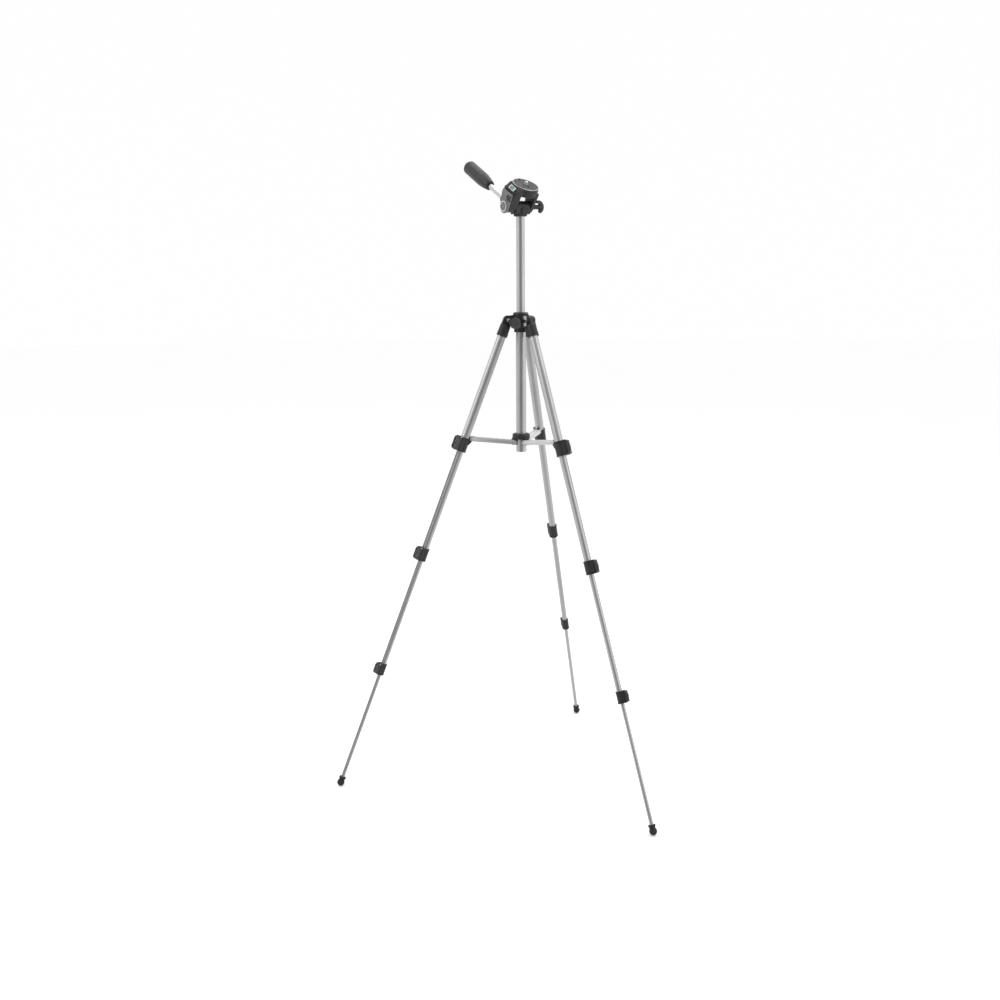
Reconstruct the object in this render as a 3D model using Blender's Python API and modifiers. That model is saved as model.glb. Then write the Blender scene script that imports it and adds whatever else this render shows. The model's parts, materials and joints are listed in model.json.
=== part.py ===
"""Compact tripod: four-section clamp legs, channel-brace spreader, sliding centre column and pan/tilt head.

Metres, +Z up. The origin is on the floor, in the middle of the box around the whole tripod.
"""

import math

import bmesh
import bpy
from mathutils import Matrix, Vector

# Legs
LEG_NAMES = ("left", "right", "back")
LEG_AZIMUTHS = (190.0, 310.0, 70.0)
LEAN = math.radians(20.64)
PIVOT_RADIUS = 0.0248
LEG_LENGTH = 0.9436
FOOT_RADIUS = 0.0072
PIVOT_HEIGHT = LEG_LENGTH * math.cos(LEAN) + FOOT_RADIUS
TUBE_DIAMETERS = (0.0162, 0.0130, 0.0098, 0.0068)
TUBE_WALL = 0.0008
CLAMP_DISTANCES = (0.2453, 0.4671, 0.7039)
CLAMP_HEIGHTS = (0.0270, 0.0250, 0.0220)
CLAMP_RADII = (0.0100, 0.0086, 0.0071)
LEVER_REACHES = (0.0175, 0.0158, 0.0135)
LEVER_TURN = math.radians(35.0)
LEVER_THICKNESS = 0.0034
ENGAGED = 0.028
SLEEVE_RADIUS = 0.0098
SLEEVE_TOP = 0.0095
SLEEVE_END = 0.0320
SHOULDER_RADIUS = 0.0080
SHOULDER_WIDTH = 0.0120
CHEEK_THICKNESS = 0.0026
PIN_RADIUS = 0.0020

# Column and crown
COLUMN_RADIUS = 0.0078
GUIDE_RADIUS = 0.00935
GUIDE_WALL = 0.0012
GUIDE_BOTTOM = 0.6440
CROWN_RADIUS = 0.0145
CROWN_BOTTOM = 0.8675
CROWN_TOP = 0.9030
COLUMN_BOTTOM = 0.8220
COLUMN_TOP = 1.0840
LOCK_AZIMUTH = 250.0
LOCK_HEIGHT = 0.8845
LOCK_RADIUS = 0.0107
LOCK_START = 0.0215
LOCK_END = 0.0330
LOCK_SHANK_RADIUS = 0.0025

# Spreader
BRACE_PIVOT_RADIUS = 0.0135
BRACE_RISE = math.radians(6.0)
BRACE_OUTER_INSET = 0.0125
BRACE_OUTER_DISTANCE = 0.2298
BRACE_HALF_HEIGHT = 0.0042
BRACE_WIDTH = 0.0120
BRACE_INNER_WIDTH = 0.0096
BRACE_WEB = 0.0012
BRACE_OPEN_END = 0.0328
HUB_RADIUS = 0.0165
HUB_BOTTOM_ABOVE_PIVOT = 0.0058
HUB_HEIGHT = 0.0100

# Head
HEAD_AZIMUTH = math.radians(36.0)
TILT = math.radians(29.0)
TILT_HEIGHT = 1.0940
TILT_OVER_COLUMN = TILT_HEIGHT - COLUMN_TOP
PLATFORM_RADIUS = 0.0250
PLATFORM_TOP = 0.0410
PLATFORM_SHIFT = 0.0040
PLATFORM_DEPTH = 0.0150
HANDLE_OFFSET = -0.0160
ROD_RADIUS = 0.0052
ROD_START = 0.0190
GRIP_START = 0.0830
GRIP_END = 0.1660
ROD_IN_GRIP = 0.0600
GRIP_RADIUS = 0.0130
SIDE_PLATE_X = -0.0330
SIDE_PLATE_THICKNESS = 0.0040
WING_X = 0.0440
PIN_OFFSET = 0.0095
PIN_WIDTH = 0.0011
PIN_BELOW = 0.0055

GAP = 0.0003
SOFT_EDGE = 0.0008
ROUND_EDGE = 0.0012
RIVET_RADIUS = 0.0015
RIVET_HOLE = RIVET_RADIUS + GAP
SCREW_RADIUS = 0.0031
SCREW_ABOVE = 0.0065
SCREW_BELOW = 0.0090
AXLE_RADIUS = 0.0032
KNUCKLE_RADIUS = 0.0105
KNUCKLE_HALF = 0.0155
COLLAR_RADIUS = 0.0108
COLLAR_OVERLAP = 0.0075
CUT = 0.0300
ROUND = 20
SMALL_ROUND = 12


def foot_reach():
    """How far a foot stands from the column's axis."""
    return PIVOT_RADIUS + LEG_LENGTH * math.sin(LEAN)


def box_middle():
    """The middle of the box around the three feet, seen from the column's axis."""
    spots = [(math.cos(math.radians(a)), math.sin(math.radians(a))) for a in LEG_AZIMUTHS]
    xs = [x for x, _ in spots]
    ys = [y for _, y in spots]
    return (min(xs) + max(xs)) / 2 * foot_reach(), (min(ys) + max(ys)) / 2 * foot_reach()


AXIS = Vector((-box_middle()[0], -box_middle()[1], 0.0))


# Scene, collections and materials

def clear_scene():
    for thing in list(bpy.data.objects):
        bpy.data.objects.remove(thing, do_unlink=True)


def collection(name):
    made = bpy.data.collections.new(name)
    bpy.context.scene.collection.children.link(made)
    return made


def material(name, colour, roughness, metallic):
    made = bpy.data.materials.new(name)
    made.use_nodes = True
    shader = made.node_tree.nodes["Principled BSDF"]
    shader.inputs["Base Color"].default_value = (*colour, 1.0)
    shader.inputs["Roughness"].default_value = roughness
    shader.inputs["Metallic"].default_value = metallic
    return made


clear_scene()
PARTS = collection("compact_tripod")
CUTTERS = collection("cutters")
FINISHES = {
    "black_plastic": ((0.035, 0.033, 0.034), 0.45, 0.0),
    "grey_plastic": ((0.20, 0.20, 0.205), 0.45, 0.0),
    "satin_aluminium": ((0.62, 0.62, 0.62), 0.32, 1.0),
    "steel": ((0.72, 0.72, 0.72), 0.25, 1.0),
    "rubber": ((0.025, 0.025, 0.026), 0.75, 0.0),
    "vial_green": ((0.02, 0.36, 0.24), 0.15, 0.0),
}


# Frames: empties that carry what moves together

def frame(name, matrix, parent=None):
    empty = bpy.data.objects.new(name, None)
    PARTS.objects.link(empty)
    empty.parent = parent
    empty.matrix_local = matrix
    return empty


def turn(angle, axis):
    return Matrix.Rotation(angle, 4, axis)


# Shapes

def place(name, mesh, parent, finish=None):
    """A part with its own finish, or a cutter where no finish is given."""
    made = bpy.data.objects.new(name, mesh)
    made.parent = parent
    if finish is None:
        CUTTERS.objects.link(made)
        made.hide_render = True
        made.display_type = "WIRE"
        return made
    PARTS.objects.link(made)
    mesh.materials.clear()
    mesh.materials.append(material(f"{name}_{finish}", *FINISHES[finish]))
    return made


def smooth(mesh):
    mesh.shade_smooth()
    mesh.set_sharp_from_angle(angle=math.radians(35))


def box_mesh(name, size, centre=(0, 0, 0)):
    mesh = bpy.data.meshes.new(name)
    shape = bmesh.new()
    spot = Matrix.Translation(centre) @ Matrix.Diagonal((*size, 1))
    bmesh.ops.create_cube(shape, size=1.0, matrix=spot)
    shape.to_mesh(mesh)
    shape.free()
    return mesh


def rod_mesh(name, radius, start, end, axis="Z", centre=(0, 0), sides=SMALL_ROUND):
    """A round bar along one axis, from start to end, with centre in the other two."""
    mesh = bpy.data.meshes.new(name)
    shape = bmesh.new()
    bmesh.ops.create_cone(
        shape,
        cap_ends=True,
        segments=sides,
        radius1=radius,
        radius2=radius,
        depth=end - start,
        matrix=Matrix.Translation((0, 0, (start + end) / 2)),
    )
    if axis == "X":
        shape.transform(turn(math.pi / 2, "Y"))
        shape.transform(Matrix.Translation((0, *centre)))
    elif axis == "Y":
        shape.transform(turn(-math.pi / 2, "X"))
        shape.transform(Matrix.Translation((centre[0], 0, centre[1])))
    else:
        shape.transform(Matrix.Translation((*centre, 0)))
    shape.to_mesh(mesh)
    shape.free()
    smooth(mesh)
    return mesh


def turned(name, profile, parent, finish=None, sides=ROUND, closed=False):
    """A turned piece. The profile holds (radius, z) and runs down the outer side."""
    mesh = bpy.data.meshes.new(name)
    edges = [(i, i + 1) for i in range(len(profile) - 1)]
    if closed:
        edges.append((len(profile) - 1, 0))
    mesh.from_pydata([(r, 0, z) for r, z in profile], edges, [])
    made = place(name, mesh, parent, finish)
    screw = made.modifiers.new("Turn", "SCREW")
    screw.axis = "Z"
    screw.steps = sides
    screw.render_steps = sides
    screw.use_merge_vertices = True
    screw.merge_threshold = 0.00001
    screw.use_smooth_shade = True
    return made


def ring(name, outer, inner, top, bottom, parent, finish=None, sides=ROUND):
    profile = [(outer, top), (outer, bottom), (inner, bottom), (inner, top)]
    return turned(name, profile, parent, finish, sides, closed=True)


def arc(centre, radius, start, end, count):
    """Points along an arc, angles in degrees."""
    angles = [math.radians(start + (end - start) * i / (count - 1)) for i in range(count)]
    return [(centre[0] + radius * math.cos(a), centre[1] + radius * math.sin(a)) for a in angles]


def plate_mesh(name, outline, thickness, upright=False, offset=0.0):
    """A flat outline given thickness: lying in XY, or upright in XZ with its thickness along Y."""
    curve = bpy.data.curves.new(name, "CURVE")
    curve.dimensions = "2D"
    curve.fill_mode = "BOTH"
    curve.extrude = thickness / 2
    spline = curve.splines.new("POLY")
    spline.points.add(len(outline) - 1)
    for point, (x, y) in zip(spline.points, outline):
        point.co = (x, y, 0, 1)
    spline.use_cyclic_u = True
    guide = bpy.data.objects.new(name, curve)
    bpy.context.scene.collection.objects.link(guide)
    bpy.context.view_layer.update()
    mesh = bpy.data.meshes.new_from_object(guide.evaluated_get(bpy.context.evaluated_depsgraph_get()))
    bpy.data.objects.remove(guide, do_unlink=True)
    shape = bmesh.new()
    shape.from_mesh(mesh)
    bmesh.ops.remove_doubles(shape, verts=shape.verts, dist=0.000005)
    bmesh.ops.recalc_face_normals(shape, faces=shape.faces)
    shape.transform(Matrix.Translation((0, 0, offset)))
    if upright:
        shape.transform(turn(math.pi / 2, "X"))
    shape.to_mesh(mesh)
    shape.free()
    mesh.name = name
    smooth(mesh)
    return mesh


def combine(target, operation, *helpers):
    for helper in helpers:
        step = target.modifiers.new(operation.title(), "BOOLEAN")
        step.operation = operation
        step.object = helper


def soften(target, width, segments=1):
    bevel = target.modifiers.new("Edges", "BEVEL")
    bevel.width = width
    bevel.segments = segments
    bevel.limit_method = "ANGLE"
    bevel.angle_limit = math.radians(50)


# Legs

def tube_ends(section):
    """Distances below the hinge where a leg tube starts and ends."""
    start = 0.0142 if section == 0 else CLAMP_DISTANCES[section - 1] - ENGAGED
    end = LEG_LENGTH - 0.0010 if section == 3 else CLAMP_DISTANCES[section] + 0.0040
    return start, end


def leg_tube(leg, section, parent):
    start, end = tube_ends(section)
    outer = TUBE_DIAMETERS[section] / 2
    inner = outer - TUBE_WALL
    profile = [(outer, -start), (outer, -end), (inner, -end), (inner, -start)]
    if section > 0:
        # The swaged head runs in the tube above and keeps this one from pulling out.
        head = TUBE_DIAMETERS[section - 1] / 2 - TUBE_WALL - GAP
        profile = [(head, -start), (head, -start - 0.006), (outer, -start - 0.0075)] + profile[1:]
    turned(f"{leg}_tube_{section + 1}", profile, parent, "satin_aluminium", closed=True)


def clamp_outline(index):
    """A collar round the tube with a flat-sided block that points along +X, towards the lever."""
    radius = CLAMP_RADII[index]
    block_end = LEVER_REACHES[index] - LEVER_THICKNESS - 2 * GAP
    half_width = radius * math.sin(math.radians(60))
    return arc((0, 0), radius, 60, 300, 11) + [(block_end, -half_width), (block_end, half_width)]


def clamp_collar(leg, index, parent):
    middle = -CLAMP_DISTANCES[index]
    name = f"{leg}_clamp_{index + 1}"
    mesh = plate_mesh(name, clamp_outline(index), CLAMP_HEIGHTS[index], offset=middle)
    mesh.transform(turn(LEVER_TURN, "Z"))
    body = place(name, mesh, parent, "black_plastic")
    soften(body, SOFT_EDGE)
    bottom = middle - CLAMP_HEIGHTS[index]
    upper = TUBE_DIAMETERS[index] / 2 + GAP
    lower = TUBE_DIAMETERS[index + 1] / 2 + GAP
    step = -tube_ends(index)[1] - GAP
    top = middle + CLAMP_HEIGHTS[index]
    bore = [(0, top), (upper, top), (upper, step), (lower, step), (lower, bottom), (0, bottom)]
    cutter = turned(f"{name}_bore", bore, parent)
    if index == 0:
        tongue = brace_tongue(name, parent)
        combine(body, "UNION", tongue)
    combine(body, "DIFFERENCE", cutter)
    if index == 0:
        combine(body, "DIFFERENCE", outer_rivet_hole(name, parent))


def brace_tongue(name, parent):
    """The lug on the top clamp that the brace's channel straddles."""
    pivot = (-BRACE_OUTER_INSET, -BRACE_OUTER_DISTANCE)
    outline = arc(pivot, 0.0034, 75, 200, 7)
    outline += [(-0.0105, pivot[1] - 0.0130), (-0.0060, pivot[1] - 0.0150)]
    outline += [(-0.0082, pivot[1] - 0.0004)]
    mesh = plate_mesh(f"{name}_tongue", outline, BRACE_INNER_WIDTH - 0.0008, upright=True)
    return place(f"{name}_tongue", mesh, parent)


def outer_rivet_hole(name, parent):
    spot = (-BRACE_OUTER_INSET, -BRACE_OUTER_DISTANCE)
    return place(f"{name}_rivet_hole", rod_mesh("hole", 0.0014, -0.02, 0.02, "Y", spot, 10), parent)


def lever_hinge(index):
    """The lever's hinge line in the clamp's own turned frame."""
    x = LEVER_REACHES[index] - LEVER_THICKNESS / 2
    y = CLAMP_RADII[index] * math.sin(math.radians(60)) - LEVER_THICKNESS / 2 + 0.0004
    return x, y


def clamp_lever(leg, index, parent):
    x, y = lever_hinge(index)
    half = LEVER_THICKNESS / 2
    far = -CLAMP_RADII[index] * math.sin(math.radians(60)) - 0.0008
    outline = arc((0, 0), half, 180, 0, 7)
    outline += [(half + 0.0005, -y), (half, far - y + 0.001), (half - 0.001, far - y), (-half, far - y)]
    height = CLAMP_HEIGHTS[index] - 0.003
    name = f"{leg}_lever_{index + 1}"
    hinge = frame(
        f"{name}_hinge",
        turn(LEVER_TURN, "Z") @ Matrix.Translation((x, y, -CLAMP_DISTANCES[index])),
        parent,
    )
    place(name, plate_mesh(name, outline[::-1], height), hinge, "grey_plastic")


def shoulder(leg, parent):
    name = f"{leg}_shoulder"
    outline = arc((0, 0), SHOULDER_RADIUS, -8, 188, 11)
    outline += [(-SHOULDER_RADIUS, -0.0120), (SHOULDER_RADIUS, -0.0120)]
    body = place(name, plate_mesh(name, outline, SHOULDER_WIDTH, upright=True), parent, "black_plastic")
    bore = TUBE_DIAMETERS[0] / 2 + GAP
    sleeve = [(0, -SLEEVE_TOP), (SLEEVE_RADIUS - 0.001, -SLEEVE_TOP), (SLEEVE_RADIUS, -SLEEVE_TOP - 0.002)]
    sleeve += [(SLEEVE_RADIUS + 0.0003, -SLEEVE_END), (bore, -SLEEVE_END), (bore, -0.0139), (0, -0.0139)]
    combine(body, "UNION", turned(f"{name}_sleeve", sleeve, parent))
    hole = rod_mesh("hole", PIN_RADIUS + GAP, -0.02, 0.02, "Y")
    combine(body, "DIFFERENCE", place(f"{name}_hole", hole, parent))


def foot(leg, parent):
    middle = -LEG_LENGTH
    bore = TUBE_DIAMETERS[3] / 2 + GAP
    outline = [(0, middle + 0.0007), (bore, middle + 0.0007), (bore, middle + 0.0115)]
    outline += [(0.0068, middle + 0.0115), (0.0070, middle + 0.0090), (0.0055, middle + 0.0062)]
    outline += [(0.0057, middle + 0.0044)]
    outline += [(x, middle + z) for x, z in arc((0, 0), FOOT_RADIUS, 25, -90, 9)]
    turned(f"{leg}_foot", outline, parent, "rubber", sides=18)


def hinge_pin(leg, parent):
    half = SHOULDER_WIDTH / 2 + GAP + CHEEK_THICKNESS + 0.0006
    name = f"{leg}_hinge_pin"
    place(name, rod_mesh(name, PIN_RADIUS, -half, half, "Y"), parent, "steel")


def leg_frame(leg, azimuth):
    matrix = (
        Matrix.Translation(AXIS)
        @ turn(math.radians(azimuth), "Z")
        @ Matrix.Translation((PIVOT_RADIUS, 0, PIVOT_HEIGHT))
        @ turn(-LEAN, "Y")
    )
    return frame(f"{leg}_leg_frame", matrix)


def build_leg(leg, azimuth):
    root = leg_frame(leg, azimuth)
    hinge_pin(leg, root)
    shoulder(leg, root)
    for section in range(4):
        leg_tube(leg, section, root)
    for index in range(3):
        clamp_collar(leg, index, root)
        clamp_lever(leg, index, root)
    foot(leg, root)


# Crown, guide tube and column

def crown(centre):
    bore = GUIDE_RADIUS + GAP
    lip = COLUMN_RADIUS + GAP
    top = CROWN_TOP
    profile = [(0.0130, top), (CROWN_RADIUS, top - 0.0015), (CROWN_RADIUS, CROWN_BOTTOM + 0.010)]
    profile += [(0.0125, CROWN_BOTTOM + 0.008), (0.0125, CROWN_BOTTOM), (bore, CROWN_BOTTOM)]
    profile += [(bore, top - 0.0030), (lip, top - 0.0030), (lip, top)]
    body = turned("crown", profile, centre, "black_plastic", sides=24, closed=True)
    for leg, azimuth in zip(LEG_NAMES, LEG_AZIMUTHS):
        spot = frame(f"{leg}_cheek_frame", turn(math.radians(azimuth), "Z"), centre)
        for side in (-1, 1):
            combine(body, "UNION", cheek(leg, side, spot))
        hole = rod_mesh("hole", PIN_RADIUS + GAP, -0.02, 0.02, "Y", (PIVOT_RADIUS, PIVOT_HEIGHT))
        combine(body, "DIFFERENCE", place(f"{leg}_cheek_hole", hole, spot))
    stub_frame = lock_frame("lock_stub_frame", centre)
    stub = place("lock_stub", rod_mesh("lock_stub", 0.0055, 0.0120, 0.0185, "X"), stub_frame)
    combine(body, "UNION", stub)
    hole = rod_mesh("lock_hole", LOCK_SHANK_RADIUS + GAP, 0.0138, CUT, "X")
    combine(body, "DIFFERENCE", place("lock_hole", hole, stub_frame))


def cheek(leg, side, spot):
    """One side plate of a leg's clevis."""
    pivot = (PIVOT_RADIUS, PIVOT_HEIGHT)
    outline = [(0.0105, CROWN_TOP - 0.0040)] + arc(pivot, 0.0068, 85, -95, 9)
    low = PIVOT_HEIGHT - 0.0140
    outline += [(0.0162, PIVOT_HEIGHT - 0.0066), (0.0140, low), (0.0105, low)]
    middle = side * (SHOULDER_WIDTH / 2 + GAP + CHEEK_THICKNESS / 2)
    mesh = plate_mesh(f"{leg}_cheek_{side}", outline, CHEEK_THICKNESS, upright=True, offset=middle)
    return place(f"{leg}_cheek_{side}", mesh, spot)


def lock_frame(name, centre):
    outward = turn(math.radians(LOCK_AZIMUTH), "Z")
    return frame(name, outward @ Matrix.Translation((0, 0, LOCK_HEIGHT)), centre)


def lock_knob(centre):
    """The eight-sided knob whose shank presses on the column."""
    spot = lock_frame("column_lock_axis", centre)
    mesh = rod_mesh("column_lock_knob", LOCK_RADIUS, LOCK_START, LOCK_END, "X", sides=8)
    knob = place("column_lock_knob", mesh, spot, "black_plastic")
    soften(knob, ROUND_EDGE)
    shank = rod_mesh("shank", LOCK_SHANK_RADIUS, 0.0141, LOCK_START + 0.0005, "X")
    combine(knob, "UNION", place("column_lock_shank", shank, spot))


def build_column(centre):
    guide_inner = GUIDE_RADIUS - GUIDE_WALL
    guide_top = CROWN_TOP - 0.0034
    ring("guide_tube", GUIDE_RADIUS, guide_inner, guide_top, GUIDE_BOTTOM, centre, "satin_aluminium", 24)
    fit = guide_inner - GAP
    plug = [(0, GUIDE_BOTTOM + 0.004), (fit, GUIDE_BOTTOM + 0.004), (fit, GUIDE_BOTTOM)]
    plug += [(guide_inner - 0.0025, GUIDE_BOTTOM - 0.0006), (0, GUIDE_BOTTOM - 0.0006)]
    turned("guide_end_plug", plug, centre, "rubber", sides=16)
    inner = COLUMN_RADIUS - 0.0010
    ring("centre_column", COLUMN_RADIUS, inner, COLUMN_TOP, COLUMN_BOTTOM, centre, "satin_aluminium", 24)


# Spreader

def brace_geometry():
    """Length of a brace between its pivots, and the height of its pivot on the hub."""
    reach = PIVOT_RADIUS + BRACE_OUTER_DISTANCE * math.sin(LEAN) - BRACE_OUTER_INSET * math.cos(LEAN)
    height = PIVOT_HEIGHT - BRACE_OUTER_DISTANCE * math.cos(LEAN) - BRACE_OUTER_INSET * math.sin(LEAN)
    length = (reach - BRACE_PIVOT_RADIUS) / math.cos(BRACE_RISE)
    return length, height - length * math.sin(BRACE_RISE)


def hub(centre):
    _, pivot_height = brace_geometry()
    bottom = pivot_height + HUB_BOTTOM_ABOVE_PIVOT
    top = bottom + HUB_HEIGHT
    bore = GUIDE_RADIUS + GAP
    profile = [(HUB_RADIUS - 0.0015, top), (HUB_RADIUS, top - 0.0015), (HUB_RADIUS, bottom)]
    profile += [(bore, bottom), (bore, top)]
    body = turned("spreader_hub", profile, centre, "black_plastic", closed=True)
    for leg, azimuth in zip(LEG_NAMES, LEG_AZIMUTHS):
        spot = frame(f"{leg}_tongue_frame", turn(math.radians(azimuth), "Z"), centre)
        width = BRACE_INNER_WIDTH - 0.0006
        low = pivot_height - 0.0050
        size = (0.0074, width, bottom + 0.002 - low)
        middle = (BRACE_PIVOT_RADIUS, 0, (bottom + 0.002 + low) / 2)
        combine(body, "UNION", place(f"{leg}_tongue", box_mesh("tongue", size, middle), spot))
        hole = rod_mesh("hole", RIVET_HOLE, -CUT, CUT, "Y", (BRACE_PIVOT_RADIUS, pivot_height), 10)
        combine(body, "DIFFERENCE", place(f"{leg}_tongue_hole", hole, spot))


def brace(leg, azimuth, centre):
    """A channel, open underneath, whose outer end stops short of the leg's lug."""
    length, pivot_height = brace_geometry()
    spot = turn(math.radians(azimuth), "Z") @ Matrix.Translation((BRACE_PIVOT_RADIUS, 0, pivot_height))
    root = frame(f"{leg}_brace_frame", spot @ turn(-BRACE_RISE, "Y"), centre)
    end = length - BRACE_OPEN_END
    half = BRACE_HALF_HEIGHT
    outline = arc((0, 0), half, 90, 270, 9) + [(end, -half), (end, half)]
    name = f"{leg}_brace"
    body = place(name, plate_mesh(name, outline, BRACE_WIDTH, upright=True), root, "satin_aluminium")
    fork_end = 0.0062
    fork = box_mesh("fork", (fork_end + 0.010, BRACE_INNER_WIDTH, 0.02), ((fork_end - 0.010) / 2, 0, 0))
    depth = 2 * half
    trough_size = (end - fork_end + 0.004, BRACE_INNER_WIDTH, depth)
    trough_middle = (fork_end - 0.001 + trough_size[0] / 2, 0, -BRACE_WEB)
    trough = box_mesh("trough", trough_size, trough_middle)
    combine(body, "DIFFERENCE", place(f"{name}_fork", fork, root), place(f"{name}_trough", trough, root))
    hole = rod_mesh("hole", RIVET_HOLE, -CUT, CUT, "Y", sides=10)
    combine(body, "DIFFERENCE", place(f"{name}_hole", hole, root))
    rivet = f"{leg}_brace_rivet"
    reach = BRACE_WIDTH / 2 + 0.0004
    place(rivet, rod_mesh(rivet, RIVET_RADIUS, -reach, reach, "Y", sides=10), root, "steel")


def build_spreader(centre):
    hub(centre)
    for leg, azimuth in zip(LEG_NAMES, LEG_AZIMUTHS):
        brace(leg, azimuth, centre)


# Head

def pan_base(root):
    """The socket on the column's top, and the knuckle that the tilt body turns on."""
    bottom = -TILT_OVER_COLUMN - COLLAR_OVERLAP
    profile = [(0, 0.0), (0.0095, 0.0), (0.0112, -0.004), (0.0120, -0.012)]
    profile += [(COLLAR_RADIUS, -0.015), (COLLAR_RADIUS, bottom), (0, bottom)]
    body = turned("pan_base", profile, root, "black_plastic", sides=24)
    knuckle = rod_mesh("knuckle", KNUCKLE_RADIUS, -KNUCKLE_HALF, KNUCKLE_HALF, "X", sides=ROUND)
    combine(body, "UNION", place("pan_knuckle", knuckle, root))
    web = box_mesh("web", (0.0300, 0.0190, 0.0120), (0, 0, -0.0075))
    combine(body, "UNION", place("pan_web", web, root))
    socket = rod_mesh("socket", COLUMN_RADIUS + GAP, bottom - CUT, -TILT_OVER_COLUMN + GAP, sides=24)
    hole = rod_mesh("hole", AXLE_RADIUS + GAP, -CUT, CUT, "X")
    combine(body, "DIFFERENCE", place("pan_socket", socket, root), place("pan_hole", hole, root))


def tilt_body(root):
    """The platform, the two ears that hold it on the knuckle, and the socket of the handle."""
    top = PLATFORM_TOP
    low = top - PLATFORM_DEPTH
    profile = [(0, top), (PLATFORM_RADIUS - 0.0012, top), (PLATFORM_RADIUS, top - 0.0012)]
    profile += [(PLATFORM_RADIUS, top - 0.0070), (PLATFORM_RADIUS - 0.0030, low), (0, low)]
    disc_frame = frame("platform_frame", Matrix.Translation((0, PLATFORM_SHIFT, 0)), root)
    body = turned("tilt_body", profile, disc_frame, "black_plastic", sides=32)
    ears = []
    for side, inner, outer in ((-1, 0.0159, -SIDE_PLATE_X - GAP), (1, 0.0159, 0.0215)):
        outline = arc((0, 0), 0.0110, 180, 360, 9) + [(0.0180, low + 0.0060), (-0.0150, low + 0.0060)]
        ear = plate_mesh(f"ear_{side}", outline, outer - inner, upright=True)
        ear.transform(turn(math.pi / 2, "Z"))
        ear.transform(Matrix.Translation((side * (inner + outer) / 2, 0, 0)))
        ears.append(place(f"tilt_ear_{side}", ear, root))
    combine(body, "UNION", *ears)
    shelf_side = SIDE_PLATE_X + GAP
    shelf_top = top - 0.0010
    shelf_outline = [(shelf_side, low), (shelf_side, top - 0.0130), (-0.0230, shelf_top)]
    shelf_outline += [(-0.0100, shelf_top), (-0.0100, low)]
    shelf = plate_mesh("vial_shelf", shelf_outline[::-1], 0.0360, upright=True, offset=-0.0020)
    combine(body, "UNION", place("tilt_shelf", shelf, root))
    socket = rod_mesh("socket", 0.0085, 0.0175, 0.0330, "Y", (HANDLE_OFFSET, 0.0), SMALL_ROUND)
    bridge = box_mesh("bridge", (0.0200, 0.0112, 0.0320), (HANDLE_OFFSET - 0.0015, 0.0206, 0.0130))
    combine(body, "UNION", place("tilt_socket", socket, root), place("tilt_bridge", bridge, root))
    half = KNUCKLE_HALF + GAP
    pin_y = PLATFORM_SHIFT - PIN_OFFSET
    screw_end = top - SCREW_BELOW - 0.0010
    cuts = [
        rod_mesh("knuckle", KNUCKLE_RADIUS + 0.0004, -half, half, "X", sides=ROUND),
        rod_mesh("axle", AXLE_RADIUS + GAP, -CUT, 2 * CUT, "X"),
        rod_mesh("rod", ROD_RADIUS + GAP, ROD_START - GAP, 2 * CUT, "Y", (HANDLE_OFFSET, 0.0), 16),
        rod_mesh("screw", SCREW_RADIUS + 0.0005, screw_end, top + CUT, "Z", (0, PLATFORM_SHIFT)),
        rod_mesh("pin", PIN_WIDTH + GAP, top - PIN_BELOW - 0.0005, top + CUT, "Z", (0, pin_y), 10),
    ]
    for mesh in cuts:
        combine(body, "DIFFERENCE", place(f"tilt_cut_{mesh.name}", mesh, root))
    slot = box_mesh("vial_slot", (0.0066, 0.0126, 0.0062))
    slot.transform(vial_spot())
    combine(body, "DIFFERENCE", place("tilt_cut_vial", slot, root))


def vial_spot():
    """The vial lies on the sloping shelf beside the platform, across the tilt axis."""
    slope = math.atan2(0.0120, 0.0097)
    return Matrix.Translation((-0.0279, 0.0, PLATFORM_TOP - 0.0071)) @ turn(-slope, "Y")


def vial(root):
    mesh = rod_mesh("bubble_vial", 0.0027, -0.0058, 0.0058, "Y", sides=SMALL_ROUND)
    mesh.transform(vial_spot())
    place("bubble_vial", mesh, root, "vial_green")


def side_plate(root):
    outline = arc((0, 0), 0.0125, 190, 350, 9)
    top = PLATFORM_TOP - 0.0135
    outline += [(0.0185, top - 0.0055), (0.0170, top), (-0.0130, top)]
    mesh = plate_mesh("side_plate", outline, SIDE_PLATE_THICKNESS, upright=True)
    mesh.transform(turn(math.pi / 2, "Z"))
    mesh.transform(Matrix.Translation((SIDE_PLATE_X - SIDE_PLATE_THICKNESS / 2, 0, 0)))
    plate = place("side_plate", mesh, root, "grey_plastic")
    soften(plate, SOFT_EDGE)
    boss_end = SIDE_PLATE_X - SIDE_PLATE_THICKNESS
    boss = rod_mesh("boss", 0.0100, boss_end - 0.0012, boss_end + 0.001, "X", sides=ROUND)
    recess = rod_mesh("recess", 0.0074, boss_end - 0.01, boss_end - 0.0002, "X", sides=ROUND)
    combine(plate, "UNION", place("side_boss", boss, root))
    combine(plate, "DIFFERENCE", place("side_recess", recess, root))


def wing_knob(root):
    """The tilt lock: a wing on a long shank that runs through the knuckle."""
    wing = [(0.0000, -0.0110), (0.0045, -0.0120), (0.0070, -0.0060), (0.0060, 0.0000)]
    wing += [(0.0070, 0.0060), (0.0045, 0.0120), (0.0000, 0.0110), (-0.0015, 0.0045), (-0.0015, -0.0045)]
    mesh = plate_mesh("wing_knob", [(x + WING_X, z) for x, z in wing], 0.0075, upright=True)
    knob = place("wing_knob", mesh, root, "black_plastic")
    soften(knob, ROUND_EDGE)
    collar = rod_mesh("collar", 0.0047, 0.0220, WING_X + 0.001, "X", sides=SMALL_ROUND)
    shank = rod_mesh("shank", AXLE_RADIUS, -0.0280, 0.0230, "X", sides=SMALL_ROUND)
    combine(knob, "UNION", place("wing_collar", collar, root), place("wing_shank", shank, root))


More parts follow.
